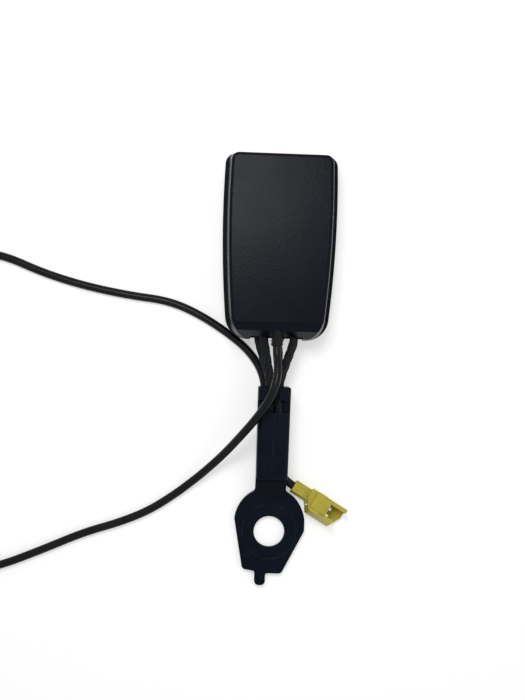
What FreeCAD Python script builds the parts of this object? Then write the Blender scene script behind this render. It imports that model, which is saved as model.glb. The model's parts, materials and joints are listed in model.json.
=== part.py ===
import FreeCAD, Part
import math
import os
import re
import Sketcher
from FreeCAD import Placement, Rotation, Vector

# A seat belt buckle on a steel rope stalk, with its anchor bracket and the lead of its switch.
# Millimetres. The origin is the centre of the bolt hole on the underside of the anchor plate.
# +Y runs up the stalk to the tongue slot and +Z points to the back of the buckle.

SIZES = {
    # anchor bracket, one sheet of steel that is stamped, joggled and folded round the ropes
    "sheet_thick": 2.4,
    "bolt_radius": 6.25,
    "seat_radius": 11.0,
    "seat_depth": 0.25,
    "shoulder_half": 14.3,
    "shoulder_y": 5.0,
    "shoulder_bulge": 1.6,
    "shoulder_round": 3.0,
    "heel_left": 10.5,
    "heel_right": 5.4,
    "heel_y": 15.4,
    "heel_drop": 1.6,
    "flank_y": 0.5,
    "tab_left": 5.4,
    "tab_right": 1.0,
    "tab_long": 6.5,
    "tab_round": 1.8,
    "corner_round": 0.9,
    "neck_y": 16.8,
    "joggle_start": 13.4,
    "joggle_run": 7.4,
    "under_bend": 1.0,
    "sleeve_long": 26.1,
    "mouth_cut": 5.3,
    "ear_long": 5.2,
    "stem_half_low": 6.25,
    "stem_flare": 0.25,
    "fold_round": 2.1,
    "ear_gap": 2.1,
    "seam_wide": 0.2,
    "ear_step": 0.6,
    # steel ropes, two loops one over the other, and where their legs pass the tail of the housing
    "rope_dia": 3.7,
    "rope_grip": 4.2,
    "rope_free": 18.6,
    "rope_exit": 2.5,
    "rope_slack": 0.05,
    "rope_exit_bend": 25.0,
    "gate_left_outer": 7.2,
    "gate_left_inner": 5.0,
    "gate_right_inner": 0.8,
    "gate_right_outer": 7.3,
    "spool_radius": 4.1,
    # moulded housing: a lower shell with a ledge, on which a slimmer upper shell stands
    "axis_z": 11.5,
    "tail_side": 4.0,
    "head_side": 6.5,
    "side_bow": 1.55,
    "ledge": 1.3,
    "back_rise": 11.5,
    "wall": 1.9,
    "back_draft": 6.5,
    "core_draft": 4.0,
    "front_draft": 1.2,
    "ledge_round": 0.5,
    "tail_round": 8.0,
    "head_round": 3.0,
    "face_round": 1.3,
    "tail_slope": 6.5,
    "tail_fold_y": 3.4,
    "tail_fold_z": 9.2,
    "lip_y": 0.5,
    "lip_high": 3.0,
    "lip_deep": 4.5,
    "belly_long": 20.0,
    "belly_y": 8.0,
    "belly_z": 3.7,
    "chin_y": 3.0,
    "chin_z": 4.7,
    "tail_room": 8.0,
    "corner_cut": 3.0,
    "sole_start": 19.5,
    "step_deep": 5.1,
    "gate_room_start": 4.0,
    "gate_room_side": 2.0,
    "gate_room_high": 6.15,
    "gate_room_deep": 4.6,
    "rope_gate_half": 10.4,
    "rope_gate_high": 9.2,
    "slot_high": 6.1,
    "button_rim": 1.2,
    "button_window": 11.0,
    "rib_half": 0.7,
    "rib_space": 9.0,
    "thumb_rim": 1.2,
    "seat_thick": 2.0,
    "weld": 0.4,
    "hairline": 0.02,
    "gap": 0.3,
    "play": 0.05,
    # steel frame
    "frame_half": 14.5,
    "frame_thick": 2.2,
    "roof_room": 1.4,
    "flange_drop": 5.5,
    "guide_long": 18.4,
    # latch
    "pin_from_spool": 15.0,
    "pin_radius": 1.5,
    "latch_thick": 2.0,
    "latch_long": 18.6,
    "hub_radius": 2.3,
    "hub_gap_half": 3.4,
    "nose_half": 6.0,
    "nose_thick": 3.0,
    "nose_tip": 1.8,
    "nose_slant": 2.2,
    "pin_head": 0.6,
    # press button
    "button_low": 2.5,
    "button_out": 3.8,
    "button_sunk": 2.2,
    "button_skin": 2.3,
    "button_face_long": 9.8,
    "leg_thick": 2.0,
    "ramp_start": 0.5,
    "ramp_drop": 6.3,
    "ramp_flat": 2.4,
    "button_round": 0.8,
    # ejector
    "bar_long": 3.5,
    "ear_thick": 1.9,
    "ear_right_out": 2.9,
    "ear_left_out": 1.9,
    "ejector_travel": 9.5,
    # rope anchorage inside the frame
    "spool_from_frame": 5.0,
    "keeper_thick": 1.5,
    "keeper_half_long": 3.0,
    "keeper_front": 3.6,
    "rivet_radius": 2.5,
    "rivet_head": 4.3,
    "rivet_high": 1.1,
    "rivet_tail": 0.7,
    "spool_flange": 7.6,
    # springs
    "button_coil": 2.5,
    "latch_coil": 2.6,
    "latch_coil_y": 11.0,
    "ejector_coil": 1.3,
    "wire_dia": 0.6,
    "thin_wire_dia": 0.4,
    "post_thick": 3.0,
    # buckle switch and its lead
    "switch_long": 21.0,
    "switch_wide": 2.7,
    "switch_skin": 0.7,
    "contact_thick": 0.3,
    "slider_long": 5.0,
    "lead_dia": 3.3,
    "lead_x": 0.1,
    "lead_rise": 7.1,
    "grommet_wall": 0.45,
    "grommet_rib": 0.6,
    "grommet_out": 2.6,
    "grommet_in": 5.0,
    # connector
    "plug_turn": -31.0,
    "plug_lean": -18.4,
    "plug_x": 10.1,
    "plug_y": 20.3,
    "hood_start": 7.0,
    "hood_flare": 2.6,
    "plug_long": 23.5,
    "hood_wide": 8.6,
    "hood_high": 7.3,
    "hood_wall": 0.8,
    "hood_slant": 3.2,
    "rail_wide": 1.3,
    "rail_high": 0.5,
    "neck_wide": 4.7,
    "neck_high": 4.4,
    "socket_deep": 10.5,
    "lock_long": 6.8,
    "lock_thick": 0.9,
    "blade_long": 5.0,
    "blade_space": 3.4,
    "blade_half": 0.8,
}

# Places and sizes that follow from the ones above
PLACES = {
    "tab_end": "heel_y + tab_long",
    "sleeve_start": "joggle_start + joggle_run + 2",
    "sleeve_end": "sleeve_start + sleeve_long",
    "ear_start": "sleeve_end + mouth_cut",
    "stem_end": "ear_start + ear_long",
    "stem_half_top": "stem_half_low + stem_flare",
    "crimp_high": "2 * rope_dia + 0.1",
    "crimp_half": "rope_dia + 0.12",
    "stem_z": "axis_z - crimp_high / 2 - sheet_thick",
    "front_z": "axis_z + crimp_high / 2",
    "rope_end_y": "sleeve_start + rope_grip",
    "rope_crimp_x": "rope_dia / 2 + 0.04",
    "rope_stack": "rope_dia / 2 + 0.02",
    "tail_y": "stem_end + rope_free",
    "frame_start": "tail_y + tail_room",
    "hollow_start": "frame_start - 0.8",
    "gate_room_end": "frame_start + 1",
    "spool_y": "frame_start + spool_from_frame",
    "spring_seat_y": "spool_y + 5",
    "ejector_start": "spring_seat_y + ejector_travel + 4",
    "pin_y": "spool_y + pin_from_spool",
    "nose_start": "pin_y + latch_long",
    "nose_end": "nose_start + nose_thick",
    "latch_reach": "nose_end - 1.6",
    "window_start": "nose_start - 1.2",
    "window_end": "nose_end + 1.6",
    "leg_start": "nose_start - 0.6",
    "flange_step_y": "nose_end - 0.1",
    "ejector_end": "nose_end - 0.6",
    "frame_end": "nose_end + guide_long",
    "button_end": "frame_end + button_out",
    "button_back": "button_end - button_face_long",
    "post_start": "window_end + 0.4",
    "head_y": "button_end + button_sunk",
    "middle_y": "(tail_y + head_y) / 2",
    "tail_half": "frame_half + tail_side",
    "head_half": "frame_half + head_side",
    "middle_half": "(tail_half + head_half) / 2 + side_bow",
    "hollow_half": "(2 * tail_half + middle_half) / 3 - wall",
    "frame_top": "axis_z + back_rise - wall - roof_room",
    "flange_low": "axis_z - flange_drop",
    "flange_step_z": "axis_z + 1.5",
    "pin_z": "axis_z - 1",
    "latch_top": "axis_z + 0.7",
    "nose_top": "frame_top - 0.8",
    "leg_outer": "frame_half - frame_thick - gap",
    "leg_inner": "leg_outer - leg_thick",
    "button_half": "leg_outer + button_rim",
    "latch_half": "leg_inner - 0.5",
    "arm_gap_half": "latch_half - 1.5",
    "window_half": "nose_half + 0.7",
    "button_high": "axis_z + 0.9",
    "ejector_low": "axis_z + 1.7",
    "ejector_high": "frame_top - frame_thick - gap",
    "ejector_mid": "(ejector_low + ejector_high) / 2",
    "rope_high": "axis_z + rope_stack + rope_dia / 2",
    "switch_high": "ejector_high - ejector_low + 1",
    "switch_low": "ejector_mid - switch_high / 2",
    "switch_inner": "frame_half + 0.25",
    "switch_outer": "switch_inner + switch_wide",
    "switch_start": "ejector_start + bar_long + 1 - switch_long",
    "switch_end": "switch_start + switch_long",
    "lead_z": "axis_z + lead_rise",
    "grommet_tip_y": "tail_y - grommet_out",
    "grommet_half": "lead_dia / 2 + grommet_wall",
    "socket_start": "plug_long - socket_deep",
}

doc = FreeCAD.newDocument("buckle_stalk")
sheet = doc.addObject("Spreadsheet::Sheet", "Sizes")
for row, (alias, content) in enumerate((SIZES | PLACES).items(), start=1):
    sheet.set(f"A{row}", alias)
    sheet.setAlias(f"B{row}", alias)
    sheet.set(f"B{row}", str(content) if alias in SIZES else "=" + content)
doc.recompute()

PARTS = []
NORMAL = {"XY_Plane": 1, "XZ_Plane": -1, "YZ_Plane": 1}


def formula(text):
    """Put the sheet's name in front of each of its aliases, as an expression needs."""
    return re.sub(r"[a-z][a-z_0-9]*", r"Sizes.\g<0>", text)


def size(text):
    """Work out a formula of the sheet's sizes as a plain number."""
    result = sheet.evalExpression(formula(text))
    return float(getattr(result, "Value", result))


def new_body(name):
    """Start a piece; its label becomes the name of its file."""
    owner = doc.addObject("PartDesign::Body", name)
    owner.Label = name
    PARTS.append(owner)
    return owner


def pin_point(sketch, edge, point, across, along):
    """Hold one point of a sketch at a place given by two formulas."""
    for kind, text in (("DistanceX", across), ("DistanceY", along)):
        index = sketch.addConstraint(Sketcher.Constraint(kind, -1, 1, edge, point, size(text)))
        sketch.setExpression(f"Constraints[{index}]", formula(text))


def draw_circle(sketch, across, along, radius):
    """Draw a circle whose centre and radius follow the sheet."""
    circle = Part.Circle(Vector(size(across), size(along), 0), Vector(0, 0, 1), size(radius))
    edge = sketch.addGeometry(circle, False)
    pin_point(sketch, edge, 3, across, along)
    index = sketch.addConstraint(Sketcher.Constraint("Radius", edge, size(radius)))
    sketch.setExpression(f"Constraints[{index}]", formula(radius))


def draw_outline(sketch, corners):
    """Draw a closed outline. A corner of four formulas leaves along an arc through its second point."""
    places = [Vector(size(corner[0]), size(corner[1]), 0) for corner in corners]
    ends = []
    for index, corner in enumerate(corners):
        here, there = places[index], places[(index + 1) % len(places)]
        if len(corner) == 4:
            via = Vector(size(corner[2]), size(corner[3]), 0)
            edge = sketch.addGeometry(Part.Arc(here, via, there), False)
            forward = sketch.Geometry[edge].StartPoint.distanceToPoint(here) < 1e-6
            ends.append((edge, 1, 2) if forward else (edge, 2, 1))
            bulge = sketch.addGeometry(Part.Point(via), True)
            pin_point(sketch, bulge, 1, corner[2], corner[3])
            sketch.addConstraint(Sketcher.Constraint("PointOnObject", bulge, 1, edge))
        else:
            ends.append((sketch.addGeometry(Part.LineSegment(here, there), False), 1, 2))
    for index, (edge, first, last) in enumerate(ends):
        following, start, _ = ends[(index + 1) % len(ends)]
        sketch.addConstraint(Sketcher.Constraint("Coincident", edge, last, following, start))
        pin_point(sketch, edge, first, corners[index][0], corners[index][1])


def rectangle(left, right, low, high):
    """Give the four corners of a rectangle from the formulas of its sides."""
    return [(left, low), (right, low), (right, high), (left, high)]


def new_sketch(owner, plane, level, shapes):
    """Draw shapes on one of the body's own planes, moved to a level along the third axis."""
    sketch = owner.newObject("Sketcher::SketchObject", owner.Name + "_sketch")
    flat = [feature for feature in owner.Origin.OriginFeatures if feature.Role == plane][0]
    sketch.AttachmentSupport = [(flat, "")]
    sketch.MapMode = "FlatFace"
    sketch.setExpression("AttachmentOffset.Base.z", formula(f"({level}) * {NORMAL[plane]}"))
    for shape in shapes:
        if isinstance(shape, tuple):
            draw_circle(sketch, *shape)
        else:
            draw_outline(sketch, shape)
    return sketch


def pad(owner, plane, level, length, *shapes, side=1, draft=None):
    """Add material from a level, towards the plus or minus end of the axis, or both ways for side 0."""
    feature = owner.newObject("PartDesign::Pad", owner.Name + "_pad")
    feature.Profile = new_sketch(owner, plane, level, shapes)
    feature.setExpression("Length", formula(length))
    feature.Midplane = side == 0
    feature.Reversed = side * NORMAL[plane] < 0
    if draft:
        feature.setExpression("TaperAngle", formula(draft))
    doc.recompute()
    return feature


def pocket(owner, plane, level, length, *shapes, side=1, draft=None):
    """Remove material from a level, towards the plus or minus end of the axis, or both ways for side 0."""
    before = owner.Tip.Shape.Volume
    feature = owner.newObject("PartDesign::Pocket", owner.Name + "_pocket")
    feature.Profile = new_sketch(owner, plane, level, shapes)
    feature.setExpression("Length", formula(length))
    feature.Midplane = side == 0
    feature.Reversed = side * NORMAL[plane] > 0
    if draft:
        feature.setExpression("TaperAngle", formula(draft))
    doc.recompute()
    if feature.Shape.Volume > before - 1e-6:
        raise ValueError(f"{owner.Label}: {feature.Name} removes nothing")
    return feature


def soften(owner, radius, wanted):
    """Round the edges that the test accepts."""
    tip = owner.Tip
    names = [f"Edge{number}" for number, edge in enumerate(tip.Shape.Edges, start=1) if wanted(edge)]
    if not names:
        raise ValueError(f"{owner.Label}: no edge to soften")
    feature = owner.newObject("PartDesign::Fillet", owner.Name + "_fillet")
    feature.Base = (tip, names)
    feature.setExpression("Radius", formula(radius))
    doc.recompute()
    if feature.Shape.isNull():
        raise ValueError(f"{owner.Label}: {feature.Name} can't be made at {size(radius)} mm")
    return feature


def upright_at(*places):
    """Accept the edges parallel to Z that stand at one of the (x, y) places."""
    spots = [(size(across), size(along)) for across, along in places]

    def wanted(edge):
        box = edge.BoundBox
        if box.XLength > 0.01 or box.YLength > 0.01:
            return False
        return any(abs(box.XMin - x) < 0.05 and abs(box.YMin - y) < 0.05 for x, y in spots)
    return wanted


def within(low, high, length=0.0):
    """Accept the edges that lie wholly inside a box and are longer than length."""
    def wanted(edge):
        box = edge.BoundBox
        above = box.XMin > low[0] and box.YMin > low[1] and box.ZMin > low[2]
        below = box.XMax < high[0] and box.YMax < high[1] and box.ZMax < high[2]
        return above and below and edge.Length > length
    return wanted


def check_part(feature):
    """Stop at a piece that failed or isn't one closed valid shape."""
    shape = feature.Shape
    if shape.isNull() or not shape.isValid() or {"Invalid", "Error"} & set(feature.State):
        raise ValueError(f"{feature.Label} is not valid")


# Anchor bracket
bracket = new_body("anchor_bracket")
bulge_x = "(shoulder_half + stem_half_low) / 2 + shoulder_bulge"
bulge_y = "(shoulder_y + neck_y + shoulder_bulge) / 2"
pad(bracket, "XY_Plane", "0", "stem_z + sheet_thick", [
    ("-tab_left", "-tab_end"),
    ("-tab_right", "-tab_end"),
    ("-tab_right", "-heel_y - heel_drop"),
    ("heel_right", "-heel_y - heel_drop"),
    ("shoulder_half", "flank_y"),
    ("shoulder_half", "shoulder_y", bulge_x, bulge_y),
    ("stem_half_low", "neck_y"),
    ("stem_half_low", "sleeve_start"),
    ("-stem_half_low", "sleeve_start"),
    ("-stem_half_low", "neck_y", f"-({bulge_x})", bulge_y),
    ("-shoulder_half", "shoulder_y"),
    ("-heel_left", "-heel_y"),
    ("-tab_left", "-heel_y - heel_drop / 2"),
])
soften(bracket, "shoulder_round", upright_at(
    ("shoulder_half", "shoulder_y"), ("shoulder_half", "flank_y"), ("-shoulder_half", "shoulder_y")))
soften(bracket, "tab_round", upright_at(
    ("-tab_left", "-tab_end"), ("-tab_right", "-tab_end"), ("heel_right", "-heel_y - heel_drop"),
    ("-heel_left", "-heel_y"), ("stem_half_low", "neck_y"), ("-stem_half_low", "neck_y")))
soften(bracket, "corner_round", upright_at(
    ("-tab_right", "-heel_y - heel_drop"), ("-tab_left", "-heel_y - heel_drop / 2")))
pocket(bracket, "YZ_Plane", "0", "4 * shoulder_half", [
    ("-tab_end - 2", "sheet_thick"),
    ("joggle_start", "sheet_thick"),
    ("joggle_start + joggle_run", "stem_z + sheet_thick"),
    ("joggle_start + joggle_run", "stem_z + sheet_thick + 2"),
    ("-tab_end - 2", "stem_z + sheet_thick + 2"),
], side=0)
pocket(bracket, "YZ_Plane", "0", "4 * shoulder_half", [
    ("joggle_start + under_bend", "0"),
    ("joggle_start + under_bend + joggle_run", "stem_z"),
    ("sleeve_start + 2", "stem_z"),
    ("sleeve_start + 2", "-2"),
    ("joggle_start + under_bend", "-2"),
], side=0)
pad(bracket, "XY_Plane", "stem_z", "crimp_high + 2 * sheet_thick", [
    ("-stem_half_low", "sleeve_start"),
    ("stem_half_low", "sleeve_start"),
    ("stem_half_top", "stem_end"),
    ("-stem_half_top", "stem_end"),
])
stem_low = Vector(-size("stem_half_top") - 1, size("sleeve_start") - 0.1, size("axis_z"))
stem_high = Vector(size("stem_half_top") + 1, size("stem_end") + 1, size("front_z + 2 * sheet_thick"))
soften(bracket, "fold_round", within(stem_low, stem_high, size("stem_end - sleeve_start") - 0.5))
soften(bracket, "corner_round", upright_at(("-stem_half_top", "stem_end"), ("stem_half_top", "stem_end")))
pocket(bracket, "XZ_Plane", "sleeve_start - 2", "stem_end", rectangle(
    "-crimp_half", "crimp_half", "axis_z - crimp_high / 2", "front_z"))
pocket(bracket, "XY_Plane", "axis_z", "crimp_high + 2", rectangle(
    "-ear_gap", "ear_gap", "sleeve_end", "stem_end + 2"))
pocket(bracket, "XY_Plane", "front_z - ear_step", "sheet_thick * 2", rectangle(
    "-2 * stem_half_top", "2 * stem_half_top", "sleeve_end", "ear_start"))
pocket(bracket, "XY_Plane", "axis_z", "crimp_high + 2", rectangle(
    "-seam_wide / 2", "seam_wide / 2", "sleeve_start - 1", "sleeve_end + 1"))
pocket(bracket, "XY_Plane", "-1", "sheet_thick + 2", ("0", "0", "bolt_radius"))
pocket(bracket, "XY_Plane", "sheet_thick - seat_depth", "1", ("0", "0", "seat_radius"))


def smooth_route(points, radii=None):
    """Join straight runs by tangent arcs; without radii each arc is as large as its runs allow."""
    edges = []
    bends = []
    start = points[0]
    for index in range(1, len(points) - 1):
        corner = points[index]
        arriving = corner - points[index - 1]
        leaving = points[index + 1] - corner
        half_turn = arriving.getAngle(leaving) / 2
        reach = 0.45 * min(arriving.Length, leaving.Length)
        if radii and radii[index - 1]:
            reach = radii[index - 1] * math.tan(half_turn)
        radius = reach / math.tan(half_turn)
        arriving.normalize()
        leaving.normalize()
        first = corner - arriving * reach
        last = corner + leaving * reach
        inward = (leaving - arriving).normalize()
        middle = corner + inward * (radius / math.cos(half_turn) - radius)
        if start.distanceToPoint(first) > 1e-6:
            edges.append(Part.LineSegment(start, first).toShape())
        edges.append(Part.Arc(first, middle, last).toShape())
        bends.append(radius)
        start = last
    edges.append(Part.LineSegment(start, points[-1]).toShape())
    return Part.Wire(edges), bends


def tube(path, radius):
    """Sweep a round section along a path and compare its volume with section times length."""
    start = path.Edges[0]
    heading = start.tangentAt(start.FirstParameter)
    section = Part.Wire(Part.Circle(start.valueAt(start.FirstParameter), heading, radius).toShape())
    solid = path.makePipeShell([section], True, False)
    expected = math.pi * radius ** 2 * path.Length
    if abs(solid.Volume - expected) > 0.01 * expected:
        raise ValueError("a tube lost its section on the way")
    return solid


def new_feature(name, shape):
    """Keep a swept shape as a piece of its own."""
    feature = doc.addObject("Part::Feature", name)
    feature.Label = name
    feature.Shape = shape
    PARTS.append(feature)
    return feature


# Steel ropes: each is one loop round the spool, with both ends in the crimp
def rope(name, height, left_gate, right_gate):
    """Lead a rope from the crimp through the tail of the housing, round the spool and back."""
    loop = size("spool_radius + rope_dia / 2 + rope_slack")
    spool = size("spool_y")
    crimp = size("rope_crimp_x")
    level = size(height)
    legs = []
    for sign, gate in ((-1, left_gate), (1, right_gate)):
        legs.append([
            Vector(sign * crimp, size("rope_end_y"), level),
            Vector(sign * crimp, size("stem_end + rope_exit"), level),
            Vector(sign * size(gate), size("tail_y"), level),
            Vector(sign * loop, spool - loop, level),
            Vector(sign * loop, spool + loop, level),
        ])
    points = legs[0] + legs[1][::-1]
    exit_bend = size("rope_exit_bend")
    path, _ = smooth_route(points, [exit_bend, None, None, loop, loop, None, None, exit_bend])
    new_feature(name, tube(path, size("rope_dia / 2")))


rope("rope_front", "axis_z + rope_stack", "gate_left_inner", "gate_right_outer")
rope("rope_back", "axis_z - rope_stack", "gate_left_outer", "gate_right_inner")


# Housing: two shells that meet at the height of the ropes' axis
def shell_outline(widening):
    """Give the plan of a shell with its long sides bowed; the widening moves them outwards."""
    return [
        (f"-tail_half - {widening}", "tail_y"),
        (f"tail_half + {widening}", "tail_y", f"middle_half + {widening}", "middle_y"),
        (f"head_half + {widening}", "head_y"),
        (f"-head_half - {widening}", "head_y", f"-middle_half - {widening}", "middle_y"),
    ]


def cavity_outline(start):
    """Give the plan of the hollow, cut across at the two corners beside the tail."""
    return [
        ("-hollow_half + corner_cut", start),
        ("hollow_half - corner_cut", start),
        ("hollow_half", f"{start} + corner_cut", "middle_half - wall", "middle_y"),
        ("head_half - wall", "head_y - wall"),
        ("-head_half + wall", "head_y - wall", "-middle_half + wall", "middle_y"),
        ("-hollow_half", f"{start} + corner_cut"),
    ]


def corner_edges(low_y, high_y):
    """Accept the four-cornered shell's upright edges between two places along it."""
    def wanted(edge):
        box = edge.BoundBox
        tall = box.ZLength > 0.8 * size("back_rise") and box.XLength < 2 and box.YLength < 2
        return tall and box.YMin > low_y and box.YMax < high_y
    return wanted


def face_edges(level):
    """Accept the edges round the outer face at a level."""
    def wanted(edge):
        return abs(edge.BoundBox.ZMin - level) < 0.01 and abs(edge.BoundBox.ZMax - level) < 0.01
    return wanted


back = new_body("back_cover")
pad(back, "XY_Plane", "axis_z", "back_rise", shell_outline("0"), draft="-back_draft")
soften(back, "tail_round", corner_edges(size("tail_y - 1"), size("tail_y + 3")))
soften(back, "head_round", corner_edges(size("head_y - 3"), size("head_y + 1")))
pocket(back, "YZ_Plane", "0", "4 * middle_half", [
    ("tail_y + tail_slope", "axis_z + back_rise"),
    ("tail_y + tail_slope", "axis_z + back_rise + 1"),
    ("tail_y - 2", "axis_z + back_rise + 1"),
    ("tail_y - 2", "axis_z"),
    ("tail_y", "axis_z"),
    ("tail_y + lip_y", "axis_z + lip_high"),
    ("tail_y + tail_fold_y", "axis_z + tail_fold_z"),
], side=0)
soften(back, "face_round", face_edges(size("axis_z + back_rise")))
pocket(back, "XY_Plane", "axis_z", "back_rise - wall", cavity_outline("hollow_start"), draft="-core_draft")
pocket(back, "XY_Plane", "axis_z", "gate_room_high", rectangle(
    "-rope_gate_half - gate_room_side", "rope_gate_half + gate_room_side",
    "tail_y + gate_room_start", "gate_room_end"))
pocket(back, "XZ_Plane", "tail_y - 1", "tail_room", rectangle(
    "-rope_gate_half", "rope_gate_half", "axis_z - 1", "axis_z + rope_gate_high / 2"))
pocket(back, "XZ_Plane", "tail_y - 1", "tail_room + 2", ("lead_x", "lead_z", "grommet_half + hairline"))
pocket(back, "XZ_Plane", "head_y - 2 * wall", "3 * wall", rectangle(
    "-button_half - gap", "button_half + gap", "axis_z - 1", "axis_z + slot_high"))
for side in ("-", ""):
    pad(back, "XY_Plane", "frame_top + hairline", "roof_room - hairline + weld", rectangle(
        f"{side}rib_space - rib_half", f"{side}rib_space + rib_half", "spring_seat_y", "frame_end - 3"))
pad(back, "XY_Plane", "flange_step_z", "axis_z + back_rise - wall + weld - flange_step_z", rectangle(
    "frame_half + gap", "tail_half", "spring_seat_y - seat_thick", "spring_seat_y"))

front = new_body("front_cover")
pad(front, "XY_Plane", "axis_z", "axis_z", shell_outline("ledge"), side=-1, draft="-front_draft")
soften(front, "tail_round + ledge", corner_edges(size("tail_y - 1"), size("tail_y + 3")))
soften(front, "head_round + ledge", corner_edges(size("head_y - 3"), size("head_y + 1")))
soften(front, "ledge_round", face_edges(size("axis_z")))
pocket(front, "YZ_Plane", "0", "4 * middle_half", [
    ("tail_y + belly_long", "0"),
    ("tail_y + belly_y", "belly_z"),
    ("tail_y + chin_y", "chin_z"),
    ("tail_y + lip_y", "axis_z - lip_deep"),
    ("tail_y", "axis_z - ledge_round"),
    ("tail_y - 2", "axis_z - ledge_round"),
    ("tail_y - 2", "-1"),
    ("tail_y + belly_long", "-1"),
], side=0)
soften(front, "face_round", face_edges(0.0))
pocket(front, "XY_Plane", "axis_z", "axis_z - wall", cavity_outline("tail_y + sole_start"), side=-1)
pocket(front, "XY_Plane", "axis_z", "axis_z - step_deep", cavity_outline("hollow_start"), side=-1)
pocket(front, "XY_Plane", "axis_z", "gate_room_deep", rectangle(
    "-rope_gate_half - gate_room_side", "rope_gate_half + gate_room_side",
    "tail_y + gate_room_start", "gate_room_end"), side=-1)
pocket(front, "XZ_Plane", "tail_y - 1", "tail_room", rectangle(
    "-rope_gate_half", "rope_gate_half", "axis_z - rope_gate_high / 2", "axis_z + 1"))
pocket(front, "XZ_Plane", "head_y - 2 * wall", "3 * wall", rectangle(
    "-button_half - gap", "button_half + gap", "button_low - gap", "axis_z + 1"))
pocket(front, "XY_Plane", "-1", "button_low + 2", rectangle(
    "-button_half + thumb_rim", "button_half - thumb_rim", "head_y - button_window", "head_y + 1"))
pad(front, "XY_Plane", "wall - weld", "button_high - wall - weld", rectangle(
    "-nose_half - 0.6", "nose_half + 0.6", "post_start", "post_start + post_thick"))
for side in ("-", ""):
    middle = f"{side}(frame_half - frame_thick / 2)"
    pad(front, "XY_Plane", "wall - weld", "flange_low - hairline - wall + weld", rectangle(
        f"{middle} - rib_half", f"{middle} + rib_half", "tail_y + belly_long + 4", "flange_step_y - 4"))

# Steel frame
frame = new_body("frame")
pad(frame, "XZ_Plane", "frame_start", "frame_end - frame_start", [
    ("-frame_half", "flange_low"),
    ("-frame_half + frame_thick", "flange_low"),
    ("-frame_half + frame_thick", "frame_top - frame_thick"),
    ("frame_half - frame_thick", "frame_top - frame_thick"),
    ("frame_half - frame_thick", "flange_low"),
    ("frame_half", "flange_low"),
    ("frame_half", "frame_top"),
    ("-frame_half", "frame_top"),
])
outer_low = Vector(-size("frame_half") - 1, size("frame_start") - 1, size("frame_top") - 0.1)
outer_high = Vector(size("frame_half") + 1, size("frame_end") + 1, size("frame_top") + 0.1)
soften(frame, "frame_thick - 2 * gap", within(outer_low, outer_high, size("frame_end - frame_start") - 1))
pocket(frame, "YZ_Plane", "0", "3 * frame_half", [
    ("flange_step_y", "flange_low - 1"),
    ("frame_end + 1", "flange_low - 1"),
    ("frame_end + 1", "flange_step_z"),
    ("flange_step_y", "flange_step_z"),
], side=0)
pocket(frame, "YZ_Plane", "0", "3 * frame_half", rectangle(
    "ejector_start - ejector_travel - gap", "ejector_start + bar_long + gap",
    "ejector_mid - ear_thick / 2 - gap", "ejector_mid + ear_thick / 2 + gap"), side=0)
pocket(frame, "YZ_Plane", "0", "3 * frame_half", ("pin_y", "pin_z", "pin_radius + play"), side=0)
pocket(frame, "YZ_Plane", "0", "3 * frame_half", rectangle(
    "spool_y - keeper_half_long - play", "spool_y + keeper_half_long + play",
    "flange_low - 1", "flange_low + keeper_thick + play"), side=0)
pocket(frame, "XY_Plane", "frame_top + 1", "frame_thick + 2",
       rectangle("-window_half", "window_half", "window_start", "window_end"),
       ("0", "spool_y", "rivet_radius + play"), side=-1)
soften(frame, "corner_round", within(
    Vector(-size("frame_half") - 1, size("frame_end") - 0.1, size("flange_step_z") - 0.1),
    Vector(size("frame_half") + 1, size("frame_end") + 0.1, size("flange_step_z") + 0.1), 1.0))

# Rope spool, keeper plate and rivet
spool = new_body("rope_spool")
pad(spool, "XY_Plane", "flange_low + keeper_thick", "frame_top - frame_thick - flange_low - keeper_thick",
    ("0", "spool_y", "spool_radius"))
pad(spool, "XY_Plane", "rope_high + play", "frame_top - frame_thick - rope_high - play",
    ("0", "spool_y", "spool_flange"))
pocket(spool, "XY_Plane", "0", "frame_top + 2", ("0", "spool_y", "rivet_radius + play"))

keeper = new_body("keeper_plate")
pad(keeper, "XY_Plane", "flange_low", "keeper_thick", [
    ("-frame_half", "spool_y - keeper_half_long"),
    ("-frame_half + frame_thick + gap", "spool_y - keeper_half_long"),
    ("-frame_half + frame_thick + gap", "spool_y - keeper_front"),
    ("frame_half - frame_thick - gap", "spool_y - keeper_front"),
    ("frame_half - frame_thick - gap", "spool_y - keeper_half_long"),
    ("frame_half", "spool_y - keeper_half_long"),
    ("frame_half", "spool_y + keeper_half_long"),
    ("frame_half - frame_thick - gap", "spool_y + keeper_half_long"),
    ("frame_half - frame_thick - gap", "spool_y + spool_flange"),
    ("-frame_half + frame_thick + gap", "spool_y + spool_flange"),
    ("-frame_half + frame_thick + gap", "spool_y + keeper_half_long"),
    ("-frame_half", "spool_y + keeper_half_long"),
])
pocket(keeper, "XY_Plane", "0", "axis_z", ("0", "spool_y", "rivet_radius + play"))

rivet = new_body("anchor_rivet")
pad(rivet, "XY_Plane", "flange_low - rivet_tail", "frame_top - flange_low + rivet_tail",
    ("0", "spool_y", "rivet_radius"))
pad(rivet, "XY_Plane", "frame_top", "rivet_high", ("0", "spool_y", "rivet_head"))
pad(rivet, "XY_Plane", "flange_low - rivet_tail", "rivet_tail", ("0", "spool_y", "rivet_head - rivet_tail"))
soften(rivet, "rivet_tail", face_edges(size("frame_top + rivet_high")))

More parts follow.
